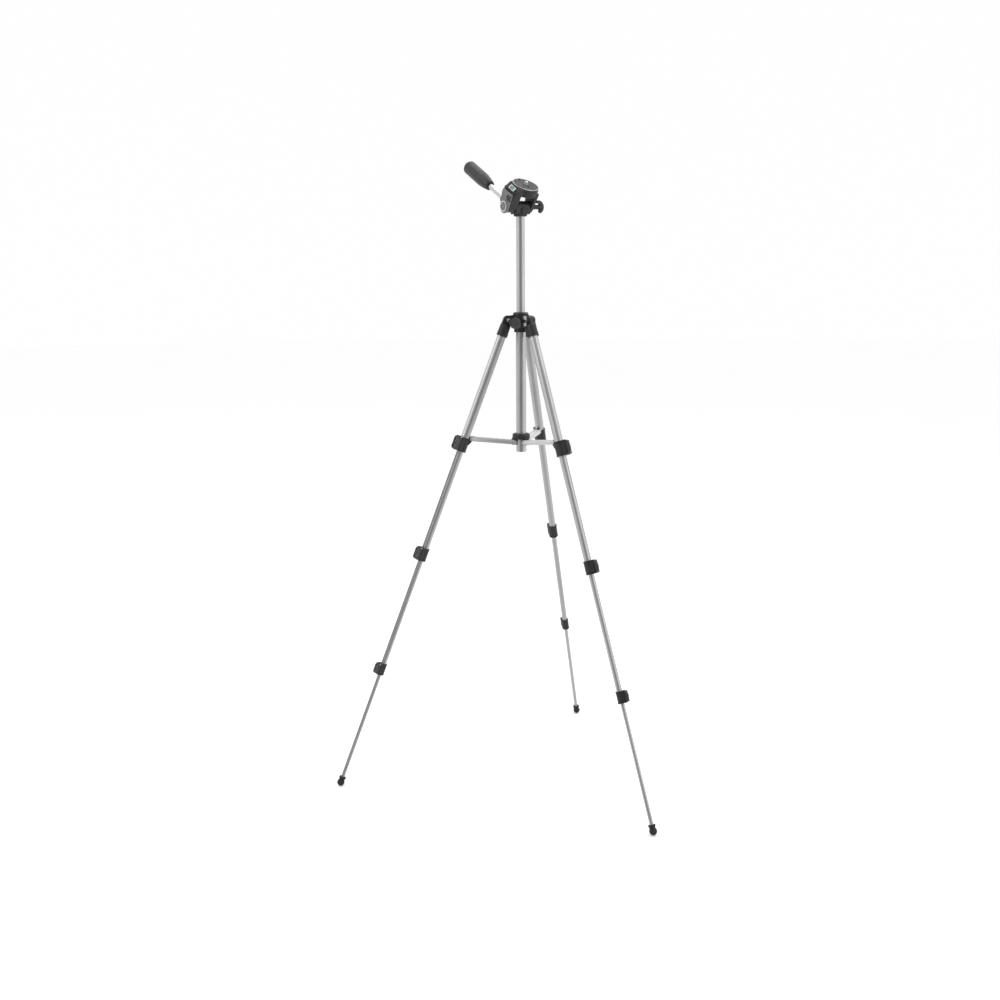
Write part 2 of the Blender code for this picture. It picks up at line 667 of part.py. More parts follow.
def handle(root):
    spot = frame("handle_axis", Matrix.Translation((HANDLE_OFFSET, 0, 0)) @ turn(-math.pi / 2, "X"), root)
    rod_end = GRIP_START + ROD_IN_GRIP
    place("handle_rod", rod_mesh("handle_rod", ROD_RADIUS, ROD_START, rod_end, sides=16), spot, "steel")
    bore = ROD_RADIUS + GAP
    radius = GRIP_RADIUS
    profile = [(0, rod_end + GAP), (bore, rod_end + GAP), (bore, GRIP_START), (0.0085, GRIP_START)]
    profile += [(0.0100, GRIP_START + 0.006), (radius - 0.0005, GRIP_START + 0.018)]
    profile += [(radius, GRIP_START + 0.024)]
    profile += [(radius, GRIP_END - 0.009), (radius - 0.0035, GRIP_END - 0.001), (0, GRIP_END)]
    turned("handle_grip", profile[::-1], spot, "rubber")


def camera_screw(root):
    """The quarter-inch screw, and the pin that keeps what stands on the platform from turning."""
    spot = frame("camera_screw_axis", Matrix.Translation((0, PLATFORM_SHIFT, 0)), root)
    top = PLATFORM_TOP + SCREW_ABOVE
    bottom = PLATFORM_TOP - SCREW_BELOW
    profile = [(0, top), (SCREW_RADIUS - 0.0007, top), (SCREW_RADIUS, top - 0.0009)]
    profile += [(SCREW_RADIUS, bottom), (0, bottom)]
    turned("camera_screw", profile, spot, "steel", sides=16)
    pin_bottom = PLATFORM_TOP - PIN_BELOW
    pin = rod_mesh("locating_pin", PIN_WIDTH, pin_bottom, PLATFORM_TOP + 0.0022, "Z", (0, -PIN_OFFSET), 10)
    place("locating_pin", pin, spot, "black_plastic")


def build_head():
    middle = AXIS + Vector((0, 0, TILT_HEIGHT))
    pan = frame("pan_frame", Matrix.Translation(middle) @ turn(HEAD_AZIMUTH, "Z"))
    pan_base(pan)
    tilted = frame("tilt_frame", turn(TILT, "X"), pan)
    tilt_body(tilted)
    vial(tilted)
    side_plate(tilted)
    wing_knob(pan)
    handle(tilted)
    camera_screw(tilted)


def main():
    centre = frame("column_axis", Matrix.Translation(AXIS))
    crown(centre)
    lock_knob(centre)
    build_column(centre)
    build_spreader(centre)
    for leg, azimuth in zip(LEG_NAMES, LEG_AZIMUTHS):
        build_leg(leg, azimuth)
    build_head()


main()
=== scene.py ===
import json
import math

import bmesh
import bpy
from mathutils import Matrix, Vector


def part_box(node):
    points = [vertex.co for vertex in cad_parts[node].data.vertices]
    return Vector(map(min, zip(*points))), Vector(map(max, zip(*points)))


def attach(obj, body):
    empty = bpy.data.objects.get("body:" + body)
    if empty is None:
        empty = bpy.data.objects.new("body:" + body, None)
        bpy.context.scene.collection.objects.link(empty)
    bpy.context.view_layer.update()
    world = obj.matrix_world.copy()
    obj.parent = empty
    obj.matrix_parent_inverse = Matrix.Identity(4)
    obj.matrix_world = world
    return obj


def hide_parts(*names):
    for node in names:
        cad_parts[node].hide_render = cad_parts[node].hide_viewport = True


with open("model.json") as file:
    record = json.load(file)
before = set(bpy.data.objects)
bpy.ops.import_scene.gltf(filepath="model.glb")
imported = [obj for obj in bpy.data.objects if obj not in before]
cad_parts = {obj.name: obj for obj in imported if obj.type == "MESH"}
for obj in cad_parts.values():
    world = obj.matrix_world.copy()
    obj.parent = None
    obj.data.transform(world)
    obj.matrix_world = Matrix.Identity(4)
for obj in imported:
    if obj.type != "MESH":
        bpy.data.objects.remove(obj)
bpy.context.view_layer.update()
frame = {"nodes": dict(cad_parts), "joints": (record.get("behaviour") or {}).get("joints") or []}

LEGS = ("left", "right", "back")
JOINTS = {joint["name"]: joint for joint in frame["joints"]}
UP = Vector((0, 0, 1))


# Frames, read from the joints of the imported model

def axes_at(origin, x_axis, y_axis, z_axis):
    rotation = Matrix((x_axis.normalized(), y_axis.normalized(), z_axis.normalized())).transposed()
    return Matrix.Translation(origin) @ rotation.to_4x4()


def joint_axis(name):
    return Vector(JOINTS[name]["axis"])


def joint_place(name):
    return Vector(JOINTS[name]["pos_m"])


def leg_frame(leg):
    """Z up the leg, Y along its hinge line, X away from the column."""
    up_leg = joint_axis(f"{leg}_slide_2")
    hinge = joint_axis(f"{leg}_leg_fold")
    return axes_at(joint_place(f"{leg}_leg_fold"), hinge.cross(up_leg), hinge, up_leg)


def head_frame(axis_name, forward):
    """X along the tilt axis, towards the wing, and Y towards forward."""
    across = joint_axis(axis_name)
    return axes_at(joint_place("tilt"), across, forward, across.cross(forward))


COLUMN = joint_place("pan")
TILTED = head_frame("tilt", joint_axis("handle_twist"))
PANNED = head_frame("tilt", UP.cross(joint_axis("tilt")))
SCREW = axes_at(joint_place("camera_screw_turn"), TILTED.col[0].xyz, TILTED.col[1].xyz, TILTED.col[2].xyz)
HANDLE = axes_at(joint_place("handle_twist"), TILTED.col[0].xyz, -TILTED.col[2].xyz, TILTED.col[1].xyz)
LOCK_AXIS = joint_axis("column_lock_turn")
LOCK = axes_at(joint_place("column_lock_turn"), LOCK_AXIS, UP.cross(LOCK_AXIS), UP)


def along(matrix, node):
    """The lowest and highest coordinates of a CAD node, measured in a frame."""
    inside = matrix.inverted()
    points = [inside @ vertex.co for vertex in frame["nodes"][node].data.vertices]
    low = Vector([min(point[i] for point in points) for i in range(3)])
    high = Vector([max(point[i] for point in points) for i in range(3)])
    return low, high


# Materials

class Shader:
    """A node material that is built up one call at a time."""

    def __init__(self, name, roughness, metallic=0.0, specular=0.5):
        self.material = bpy.data.materials.new(name)
        self.material.use_nodes = True
        self.nodes = self.material.node_tree.nodes
        self.links = self.material.node_tree.links
        self.surface = self.nodes["Principled BSDF"]
        self.surface.inputs["Roughness"].default_value = roughness
        self.surface.inputs["Metallic"].default_value = metallic
        self.surface.inputs["Specular IOR Level"].default_value = specular
        self.bumps = None

    def place(self, scale, matrix=None):
        """Object coordinates, turned into a frame and scaled along its axes."""
        spot = self.nodes.new("ShaderNodeTexCoord").outputs["Object"]
        if matrix is not None:
            turned = self.nodes.new("ShaderNodeMapping")
            turned.inputs["Rotation"].default_value = matrix.inverted().to_euler()
            self.links.new(spot, turned.inputs["Vector"])
            spot = turned.outputs["Vector"]
        scaled = self.nodes.new("ShaderNodeMapping")
        scaled.inputs["Scale"].default_value = scale
        self.links.new(spot, scaled.inputs["Vector"])
        return scaled.outputs["Vector"]

    def noise(self, scale, matrix=None, detail=3.0):
        made = self.nodes.new("ShaderNodeTexNoise")
        made.inputs["Scale"].default_value = 1.0
        made.inputs["Detail"].default_value = detail
        self.links.new(self.place(scale, matrix), made.inputs["Vector"])
        return made.outputs["Fac"]

    def spread(self, value, low, high):
        """A value from 0.3 to 0.7, mapped to low and high."""
        made = self.nodes.new("ShaderNodeMapRange")
        for socket, number in zip(("From Min", "From Max", "To Min", "To Max"), (0.3, 0.7, low, high)):
            made.inputs[socket].default_value = number
        self.links.new(value, made.inputs["Value"])
        return made.outputs["Result"]

    def colour(self, value, stops):
        ramp = self.nodes.new("ShaderNodeValToRGB")
        elements = ramp.color_ramp.elements
        while len(elements) < len(stops):
            elements.new(0.5)
        for element, (position, tone) in zip(elements, stops):
            element.position = position
            element.color = (*tone, 1.0)
        self.links.new(value, ramp.inputs["Fac"])
        self.links.new(ramp.outputs["Color"], self.surface.inputs["Base Color"])

    def roughness(self, value, low, high):
        self.links.new(self.spread(value, low, high), self.surface.inputs["Roughness"])

    def bump(self, value, strength, distance):
        made = self.nodes.new("ShaderNodeBump")
        made.inputs["Strength"].default_value = strength
        made.inputs["Distance"].default_value = distance
        self.links.new(value, made.inputs["Height"])
        if self.bumps is not None:
            self.links.new(self.bumps, made.inputs["Normal"])
        self.bumps = made.outputs["Normal"]
        self.links.new(self.bumps, self.surface.inputs["Normal"])


def tones(middle, spread, warmth=(1.0, 1.0, 1.0)):
    """Two stops around a grey, for a colour ramp over a noise."""
    dark = tuple(middle * (1 - spread) * channel for channel in warmth)
    light = tuple(middle * (1 + spread) * channel for channel in warmth)
    return [(0.35, dark), (0.65, light)]


def aluminium(name, matrix, level=0.60):
    """Drawn aluminium with a satin anodised skin: fine draw lines run along the frame's Z."""
    made = Shader(name, 0.40, metallic=1.0)
    lines = made.noise((2600, 2600, 14), matrix)
    cloud = made.noise((60, 60, 9), matrix)
    made.colour(cloud, tones(level, 0.05))
    made.roughness(lines, 0.36, 0.48)
    made.bump(lines, 0.10, 0.00003)
    return made.material


def moulded(name, level, roughness, grain=1500, warmth=(1.05, 0.98, 1.0), strength=0.25):
    """Moulded plastic with a spark-eroded grain and a little wear in its sheen."""
    made = Shader(name, roughness, specular=0.45)
    made.colour(made.noise((90, 90, 90)), tones(level, 0.14, warmth))
    made.roughness(made.noise((160, 160, 160)), roughness - 0.07, roughness + 0.08)
    made.bump(made.noise((grain, grain, grain), detail=2.0), strength, 0.00008)
    return made.material


def bright_steel(name):
    """Nickel-plated steel with faint turning marks."""
    made = Shader(name, 0.22, metallic=1.0)
    made.colour(made.noise((300, 300, 300)), tones(0.70, 0.07))
    made.roughness(made.noise((900, 900, 900)), 0.16, 0.32)
    made.bump(made.noise((1800, 1800, 1800)), 0.08, 0.00004)
    return made.material


def soft_rubber(name, level=0.021):
    """Matt rubber with a fine pebbled skin."""
    made = Shader(name, 0.7, specular=0.35)
    made.colour(made.noise((120, 120, 120)), tones(level, 0.2, (1.05, 1.0, 1.0)))
    made.roughness(made.noise((400, 400, 400)), 0.52, 0.72)
    made.bump(made.noise((2200, 2200, 2200)), 0.4, 0.0001)
    return made.material


def vial_liquid(name):
    """Clear acrylic over green spirit."""
    made = Shader(name, 0.08)
    made.surface.inputs["Coat Weight"].default_value = 1.0
    made.colour(made.noise((500, 500, 500)), [(0.4, (0.02, 0.30, 0.22)), (0.65, (0.06, 0.48, 0.36))])
    made.bump(made.noise((700, 700, 700)), 0.05, 0.00005)
    return made.material


BLACK = moulded("moulded_black", 0.022, 0.42)
GLOSSY = moulded("moulded_black_gloss", 0.014, 0.22, grain=900, strength=0.08)
GREY = moulded("moulded_grey", 0.17, 0.38, warmth=(0.99, 1.0, 1.01), strength=0.15)
DARK_GREY = moulded("moulded_dark_grey", 0.045, 0.40)
# Painted dark reflection: a dark material for the strips on the leg tubes, in place of the dark band the
# tubes reflect
PAINTED_REFLECTION = moulded("painted_dark_reflection", 0.16, 0.35, warmth=(1.0, 0.98, 1.0), strength=0.1)
WHITE = moulded("moulded_white", 0.72, 0.35, warmth=(1.0, 1.0, 0.97), strength=0.08)
PALE = moulded("moulded_pale_grey", 0.50, 0.40, warmth=(1.0, 1.0, 1.0), strength=0.10)
STEEL = bright_steel("nickel_steel")
RUBBER = soft_rubber("pebbled_rubber")
RUBBER_SHEEN = moulded("grip_rubber_sheen", 0.030, 0.30, 1900, warmth=(1.03, 1.0, 1.0), strength=0.3)
PAD = moulded("platform_pad", 0.065, 0.62, grain=700, warmth=(1.0, 1.0, 1.0), strength=0.9)
LIQUID = vial_liquid("vial_liquid")


def dress(node, material):
    """Puts a finish on a CAD part."""
    for entry in frame["nodes"][node].material_slots:
        entry.material = material


def dress_cad():
    upright = Matrix.Identity(4)
    dress("guide_tube", aluminium("aluminium_guide", upright))
    dress("centre_column", aluminium("aluminium_column", upright))
    for leg in LEGS:
        matrix = leg_frame(leg)
        drawn = aluminium(f"aluminium_{leg}", matrix)
        for section in range(1, 5):
            dress(f"{leg}_tube_{section}", drawn)
        for index in range(1, 4):
            dress(f"{leg}_clamp_{index}", BLACK)
            dress(f"{leg}_lever_{index}", DARK_GREY)
        dress(f"{leg}_shoulder", BLACK)
        dress(f"{leg}_foot", RUBBER)
        dress(f"{leg}_hinge_pin", STEEL)
        dress(f"{leg}_brace_rivet", STEEL)
    for node in ("crown", "spreader_hub", "pan_base", "tilt_body"):
        dress(node, BLACK)
    dress("column_lock_knob", DARK_GREY)
    dress("guide_end_plug", RUBBER)
    dress("side_plate", GREY)
    dress("bubble_vial", LIQUID)
    dress("wing_knob", GLOSSY)
    dress("handle_rod", STEEL)
    dress("handle_grip", RUBBER)
    dress("camera_screw", STEEL)
    dress("locating_pin", BLACK)


# Meshes for the visual pieces

def piece(name, shape, material, matrix, body, smooth_angle=35):
    """Turns a bmesh in a local frame into a piece that rides on a body."""
    bmesh.ops.recalc_face_normals(shape, faces=shape.faces)
    mesh = bpy.data.meshes.new(name)
    shape.to_mesh(mesh)
    shape.free()
    mesh.transform(matrix)
    mesh.shade_smooth()
    mesh.set_sharp_from_angle(angle=math.radians(smooth_angle))
    mesh.materials.append(material)
    made = bpy.data.objects.new(name, mesh)
    bpy.context.scene.collection.objects.link(made)
    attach(made, body)
    return made


def arc(centre, radius, start, end, count):
    """Points along an arc, with angles in degrees."""
    angles = [math.radians(start + (end - start) * i / (count - 1)) for i in range(count)]
    return [(centre[0] + radius * math.cos(a), centre[1] + radius * math.sin(a)) for a in angles]


def rounded_rectangle(width, height, radius, count=6):
    corners = [(1, 1, 0), (-1, 1, 90), (-1, -1, 180), (1, -1, 270)]
    points = []
    for sx, sy, start in corners:
        centre = (sx * (width / 2 - radius), sy * (height / 2 - radius))
        points += arc(centre, radius, start, start + 90, count)
    return points


def add_lathe(shape, profile, sides=48, radius_at=None, closed=False):
    """Turns (radius, z) points about Z. radius_at(angle, radius, z) may ripple the surface."""
    rings = []
    for radius, z in profile:
        if radius < 1e-7:
            rings.append([shape.verts.new((0, 0, z))])
            continue
        ring = []
        for i in range(sides):
            angle = math.tau * i / sides
            reach = radius_at(angle, radius, z) if radius_at else radius
            ring.append(shape.verts.new((reach * math.cos(angle), reach * math.sin(angle), z)))
        rings.append(ring)
    pairs = list(zip(rings, rings[1:]))
    if closed:
        pairs.append((rings[-1], rings[0]))
    for first, second in pairs:
        for i in range(sides):
            j = (i + 1) % sides
            near = [first[i % len(first)], first[j % len(first)]]
            far = [second[j % len(second)], second[i % len(second)]]
            shape.faces.new(list(dict.fromkeys(near + far)))
    return shape


def lathe(profile, sides=48, radius_at=None, closed=False):
    return add_lathe(bmesh.new(), profile, sides, radius_at, closed)


def add_plate(shape, outline, low, high, bevel=0.0, segments=2):
    """A flat outline in XY between two heights, with its rims rounded over."""
    lower = [shape.verts.new((x, y, low)) for x, y in outline]
    upper = [shape.verts.new((x, y, high)) for x, y in outline]
    faces = [shape.faces.new(lower[::-1]), shape.faces.new(upper)]
    for i in range(len(outline)):
        j = (i + 1) % len(outline)
        faces.append(shape.faces.new((lower[i], lower[j], upper[j], upper[i])))
    if bevel > 0:
        rims = [edge for face in faces[:2] for edge in face.edges]
        bmesh.ops.bevel(shape, geom=rims, offset=bevel, segments=segments, affect="EDGES", profile=0.5)
    return shape


def plate(outline, low, high, bevel=0.0, segments=2):
    return add_plate(bmesh.new(), outline, low, high, bevel, segments)


def add_loops(shape, loops):
    """Walls from each loop of points to the next, and from the last back to the first."""
    for first, second in zip(loops, loops[1:] + loops[:1]):
        add_wall(shape, first, second)


def add_wall(shape, first, second):
    for i in range(len(first)):
        j = (i + 1) % len(first)
        shape.faces.new((first[i], first[j], second[j], second[i]))


def add_bar(shape, first, last):
    """A bar between two end sections with the same number of points."""
    add_wall(shape, first, last)
    shape.faces.new(first[::-1])
    shape.faces.new(last)


def rim(inner, outer, low, high, chamfer, drop):
    """The profile of a flat ring whose outer top edge is cut back by chamfer across and drop down."""
    top = [(inner, high), (outer - chamfer, high), (outer, high - drop)]
    return top + [(outer, low), (inner, low)]


# Spreader

BRACE_OUTER_INSET = 0.0125
BRACE_OUTER_DISTANCE = 0.2298
CHEEK = 0.0012
PANEL_BORDER, PANEL_SLOPE, PANEL_DEPTH = 0.0014, 0.0006, 0.0003
WEB_GAP = 0.0022
GROOVE_HALF, GROOVE_FLOOR, GROOVE_DEPTH = 0.0020, 0.0012, 0.0004
RIVET_RADIUS = 0.0022
PIN_HEAD_RADIUS = 0.0027
DOME = 0.0008


def outer_pivot(leg):
    """The middle of the lug on the leg's top clamp."""
    return leg_frame(leg) @ Vector((-BRACE_OUTER_INSET, 0, -BRACE_OUTER_DISTANCE))


def brace_frame(leg):
    """X along the brace from its pivot on the hub, Y along its hinge line."""
    start = joint_place(f"{leg}_brace_fold")
    outward = (outer_pivot(leg) - start).normalized()
    hinge = joint_axis(f"{leg}_brace_fold")
    return axes_at(start, outward, hinge, outward.cross(hinge))


def add_brace(leg):
    """A pressed channel, open underneath, with a long panel in each cheek and a groove down its web."""
    matrix = brace_frame(leg)
    high = along(matrix, f"{leg}_brace")[1]
    length = (outer_pivot(leg) - joint_place(f"{leg}_brace_fold")).length
    half, width = high.z, high.y
    outline = arc((0, 0), half, 90, 270, 17) + arc((length, 0), half, -90, 90, 17)
    shape = bmesh.new()
    for side in (-1, 1):
        inner, outer = sorted((side * (width - CHEEK), side * width))
        add_plate(shape, outline, inner, outer, bevel=0.0003)
    shape.faces.ensure_lookup_table()
    panels = [face for face in shape.faces if face.calc_area() > length * half]
    bmesh.ops.inset_region(shape, faces=panels, thickness=PANEL_BORDER, depth=0)
    bmesh.ops.inset_region(shape, faces=panels, thickness=PANEL_SLOPE, depth=-PANEL_DEPTH)
    add_web(shape, half + WEB_GAP, length - half - WEB_GAP, width - CHEEK, half)
    shape.transform(Matrix.Rotation(-math.pi / 2, 4, "X"))
    drawn = aluminium(f"aluminium_{leg}_brace", matrix @ Matrix.Rotation(math.pi / 2, 4, "Y"), level=0.86)
    made = piece(f"{leg}_brace_channel", shape, drawn, matrix, f"{leg}_brace")
    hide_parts(f"{leg}_brace")


def add_web(shape, start, end, half_width, top):
    """The channel's web, from start to end along the brace, in the cheeks' XY plane."""
    groove = [(GROOVE_HALF, top), (GROOVE_FLOOR, top - GROOVE_DEPTH)]
    groove += [(-y, z) for y, z in reversed(groove)]
    section = [(-half_width, top - CHEEK), (half_width, top - CHEEK), (half_width, top)]
    section += groove + [(-half_width, top)]
    first, last = [[shape.verts.new((x, -z, y)) for y, z in section] for x in (start, end)]
    add_bar(shape, first, last)


def add_rivet(name, spot, hinge, half, radius, body):
    """A pin with a domed head at each end."""
    head = arc((0, 0), 1.0, 0, 90, 7)
    shank = radius * 0.6
    top = [(radius * x, half + DOME * z) for x, z in head[:-1]] + [(0, half + DOME)]
    profile = [(r, -z) for r, z in reversed(top)] + [(shank, -half), (shank, half)] + top
    matrix = axes_at(spot, UP.cross(hinge), UP, hinge)
    piece(name, lathe(profile, 24), STEEL, matrix, body)


def add_spreader():
    for leg in LEGS:
        add_brace(leg)
        half = along(brace_frame(leg), f"{leg}_brace")[1].y
        hinge = joint_axis(f"{leg}_brace_fold")
        inner = joint_place(f"{leg}_brace_fold")
        add_rivet(f"{leg}_outer_rivet", outer_pivot(leg), hinge, half, RIVET_RADIUS, f"{leg}_leg")
        add_rivet(f"{leg}_inner_rivet", inner, hinge, half, RIVET_RADIUS, "spreader")
    hub_rim = rim(0.0104, 0.0142, -0.0010, 0.0006, 0.0006, 0.0004)
    add_column_ring("hub_top_rim", "spreader_hub", hub_rim, "spreader")


def add_column_ring(name, node, profile, body):
    """A black ring round the column, on top of a node."""
    spot = Matrix.Translation((COLUMN.x, COLUMN.y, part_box(node)[1].z))
    piece(name, lathe(profile, 64, closed=True), BLACK, spot, body)


# Crown

def add_crown():
    crown_rim = rim(0.0086, 0.0130, -0.0008, 0.0008, 0.0006, 0.0006)
    add_column_ring("crown_top_rim", "crown", crown_rim, "frame")
    for leg in LEGS:
        add_clevis_trim(leg)
    add_lock_knob()


def add_clevis_trim(leg):
    """Two moulded pads on one cheek of the clevis, and the domed ends of the hinge pin."""
    matrix = leg_frame(leg)
    hinge = matrix.col[1].xyz.normalized()
    pivot = joint_place(f"{leg}_leg_fold")
    upright_frame = axes_at(pivot, hinge.cross(UP), hinge, UP)
    half = along(matrix, f"{leg}_hinge_pin")[1].y
    cheek_face = -half + 0.0006
    outline = rounded_rectangle(0.0078, 0.0066, 0.0016)
    for name, height in (("upper", 0.0042), ("lower", -0.0080)):
        shape = plate(outline, -0.0005, 0.0006, bevel=0.0004)
        shape.transform(Matrix.Rotation(math.pi / 2, 4, "X"))
        shape.transform(Matrix.Translation((-0.0020, cheek_face, height)))
        piece(f"{leg}_clevis_pad_{name}", shape, PALE, upright_frame, "frame")
    add_rivet(f"{leg}_hinge_heads", pivot, hinge, half - 0.0004, PIN_HEAD_RADIUS, "frame")


def octagon(angle, radius, sharpness=0.75):
    """The distance out to a rounded eight-sided outline."""
    wedge = math.tau / 8
    bent = (angle % wedge) - wedge / 2
    flat = radius * math.cos(wedge / 2) / math.cos(bent)
    return radius * (1 - sharpness) * math.cos(wedge / 4) + flat * sharpness


def add_lock_knob():
    """An eight-sided knob with a dished face and a raised rim, on a round shank."""
    low, high = along(LOCK, "column_lock_knob")
    depth, radius = high.x, high.z
    shank, dish = 0.0040, 0.0014
    face = [(0, depth - dish), (radius * 0.60, depth - dish), (radius * 0.72, depth - 0.0002)]
    edge = [(radius * 0.90, depth), (radius * 0.98, depth - 0.0008), (radius, depth - 0.0026)]
    back = [(radius * 0.96, 0.0020), (radius * 0.84, 0.0004), (radius * 0.42, 0)]
    stem = [(shank, 0), (shank, low.x), (0, low.x)]

    def shaped(angle, reach, z):
        return octagon(angle, reach) if reach > shank + 0.0005 else reach

    matrix = axes_at(LOCK.translation, -LOCK.col[2].xyz, LOCK.col[1].xyz, LOCK.col[0].xyz)
    knob = lathe(face + edge + back + stem, 96, shaped)
    made = piece("lock_knob_head", knob, DARK_GREY, matrix, "column_lock")
    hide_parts("column_lock_knob")


# Legs

LEVER_TURN = math.radians(35.0)
SLEEVE_BAND_STEP = 0.0046
RIM_HEIGHT = 0.0020
LEVER_PIN_RADIUS = 0.0012
# The radius of each inner tube below its swaged head, where a strip of painted dark reflection sits
REFLECTION_STRIP_RADII = {2: 0.0065, 3: 0.0049, 4: 0.0034}
REFLECTION_STRIP_SPREAD = math.radians(15)


def ribbed_ring(inner, outer, low, high, ribs, depth, sides=96):
    """A ring whose outside is ribbed all round."""
    edge = (high - low) * 0.15
    profile = [(inner, high), (outer - depth, high), (outer, high - edge), (outer, low + edge)]
    profile += [(outer - depth, low), (inner, low)]

    def ripple(angle, radius, z):
        if radius < outer - 1e-6:
            return radius
        return radius - depth * (0.5 - 0.5 * math.cos(ribs * angle)) ** 2

    return lathe(profile, sides, ripple, closed=True)


def add_sleeve_rings(leg):
    """Two raised bands round the plastic sleeve that holds the top of the leg."""
    matrix = leg_frame(leg)
    low, high = along(matrix, f"{leg}_shoulder")
    root, shoulder, crest = high.y - 0.001, high.y + 0.0002, high.y + 0.0005
    for index in range(2):
        start = low.z + index * SLEEVE_BAND_STEP
        end = start + 0.0026
        profile = [(root, end), (shoulder, end), (crest, end - 0.0006)]
        profile += [(crest, start + 0.0006), (shoulder, start), (root, start)]
        name = f"{leg}_sleeve_band_{index + 1}"
        piece(name, lathe(profile, 64, closed=True), BLACK, matrix, f"{leg}_leg")


def clamp_body(leg, index):
    return f"{leg}_leg" if index == 1 else f"{leg}_section_{index}"


def add_clamp_trim(leg, index):
    """The flared rims of a clamp, the oval ring and finger ribs on its lever, and the lever's pin."""
    turned = leg_frame(leg) @ Matrix.Rotation(LEVER_TURN, 4, "Z")
    low, high = along(turned, f"{leg}_clamp_{index}")
    lever_low, lever_high = along(turned, f"{leg}_lever_{index}")
    half_height = (lever_high.z - lever_low.z) / 2 + 0.0015
    add_clamp_rims(leg, index, turned, min(high.y, -low.y), lever_low, lever_high, half_height)
    add_lever_ring(leg, index, turned, lever_low, lever_high, half_height)
    add_lever_ribs(leg, index, turned, lever_low, lever_high)
    add_lever_pin(leg, index, turned, half_height - 0.0004)


def add_clamp_rims(leg, index, turned, radius, lever_low, lever_high, half_height):
    """Two thin plates round the tube, wide enough to show past the clamp's body."""
    widest_tube = index if index == 1 else index + 1
    hole = along(turned, f"{leg}_tube_{widest_tube}")[1].y + 0.0008
    half_width = radius * math.sin(math.radians(60)) + 0.0003
    reach = lever_low.x - 0.0003
    outline = arc((0, 0), radius + 0.0004, 62, 298, 33) + [(reach, -half_width), (reach, half_width)]
    middle = (lever_low.z + lever_high.z) / 2
    for name, level in (("upper", middle + half_height - RIM_HEIGHT), ("lower", middle - half_height)):
        shape = plate_with_hole(outline, hole, level, level + RIM_HEIGHT)
        body = clamp_body(leg, index)
        piece(f"{leg}_clamp_{index}_{name}_rim", shape, BLACK, turned, body)


def plate_with_hole(outline, hole, low, high):
    """A flat plate with a round hole about the origin."""
    shape = bmesh.new()
    angles = [math.atan2(y, x) for x, y in outline]
    inner = [(hole * math.cos(a), hole * math.sin(a)) for a in angles]
    corners = ((outline, low), (outline, high), (inner, high), (inner, low))
    add_loops(shape, [[shape.verts.new((x, y, level)) for x, y in ring] for ring, level in corners])
    return shape


def lever_face(turned, low, high):
    """A frame at the middle of the lever's outer face, with X outward."""
    return turned @ Matrix.Translation((high.x, (low.y + high.y) / 2, (low.z + high.z) / 2))


def add_lever_ring(leg, index, turned, low, high, half_height):
    """An oval ring on the lever's outer face."""
    tall, wide = half_height * 0.52, (high.y - low.y) * 0.26
    section = ((0.0, -0.0004), (0.0, 0.0003), (0.0005, 0.0006), (0.0010, 0.0003), (0.0010, -0.0004))
    angles = [math.tau * i / 40 for i in range(40)]
    shape = bmesh.new()
    loops = []
    for inset, proud in section:
        spots = [((wide - inset) * math.cos(a), (tall - inset) * math.sin(a)) for a in angles]
        loops.append([shape.verts.new((proud, y, z)) for y, z in spots])
    add_loops(shape, loops)
    matrix = lever_face(turned, low, high)
    piece(f"{leg}_lever_{index}_ring", shape, GREY, matrix, f"{leg}_lever_{index}")


def add_lever_ribs(leg, index, turned, low, high):
    """Three finger ribs along the lever's free edge."""
    shape = bmesh.new()
    outline = rounded_rectangle(0.0007, (high.z - low.z) * 0.78, 0.00034, 4)
    for step in range(3):
        rib_y = (low.y - high.y) / 2 + 0.0012 + 0.0013 * step
        add_plate(shape, [(y + rib_y, z) for y, z in outline], -0.0003, 0.0005, bevel=0.0002)
    plate_to_face = Matrix(((0, 0, 1, 0), (1, 0, 0, 0), (0, 1, 0, 0), (0, 0, 0, 1)))
    shape.transform(plate_to_face)
    matrix = lever_face(turned, low, high)
    piece(f"{leg}_lever_{index}_ribs", shape, BLACK, matrix, f"{leg}_lever_{index}")


def add_lever_pin(leg, index, turned, half):
    radius, chamfer = LEVER_PIN_RADIUS, 0.0002
    pin = [(0, half), (radius - chamfer, half), (radius, half - 0.0003), (radius, -half + 0.0003)]
    pin += [(radius - chamfer, -half), (0, -half)]
    hinge = turned.inverted() @ joint_place(f"{leg}_lever_{index}_open")
    spot = turned @ Matrix.Translation(hinge)
    piece(f"{leg}_lever_{index}_pin", lathe(pin, 20), STEEL, spot, f"{leg}_lever_{index}")


def add_painted_reflection_strip(leg, section):
    """A painted dark reflection: a dark strip down a leg tube, on the side of its lever and just proud of
    the tube.
    """
    matrix = leg_frame(leg) @ Matrix.Rotation(LEVER_TURN, 4, "Z")
    low, high = along(matrix, f"{leg}_tube_{section}")
    radius, root = REFLECTION_STRIP_RADII[section], REFLECTION_STRIP_RADII[section] - 0.0003
    shares = [i / 6 for i in range(7)]
    angles = [REFLECTION_STRIP_SPREAD * (2 * share - 1) for share in shares]
    crests = [radius + 0.00004 + 0.00010 * math.sin(math.pi * share) for share in shares]
    outline = [(reach * math.cos(a), reach * math.sin(a)) for reach, a in zip(crests, angles)]
    outline += [(root * math.cos(a), root * math.sin(a)) for a in reversed(angles)]
    shape = bmesh.new()
    levels = (low.z + 0.0008, high.z - 0.0090)
    first, last = [[shape.verts.new((x, y, level)) for x, y in outline] for level in levels]
    add_bar(shape, first, last)
    body = f"{leg}_section_{section}"
    piece(f"{leg}_tube_{section}_flute", shape, PAINTED_REFLECTION, matrix, body)


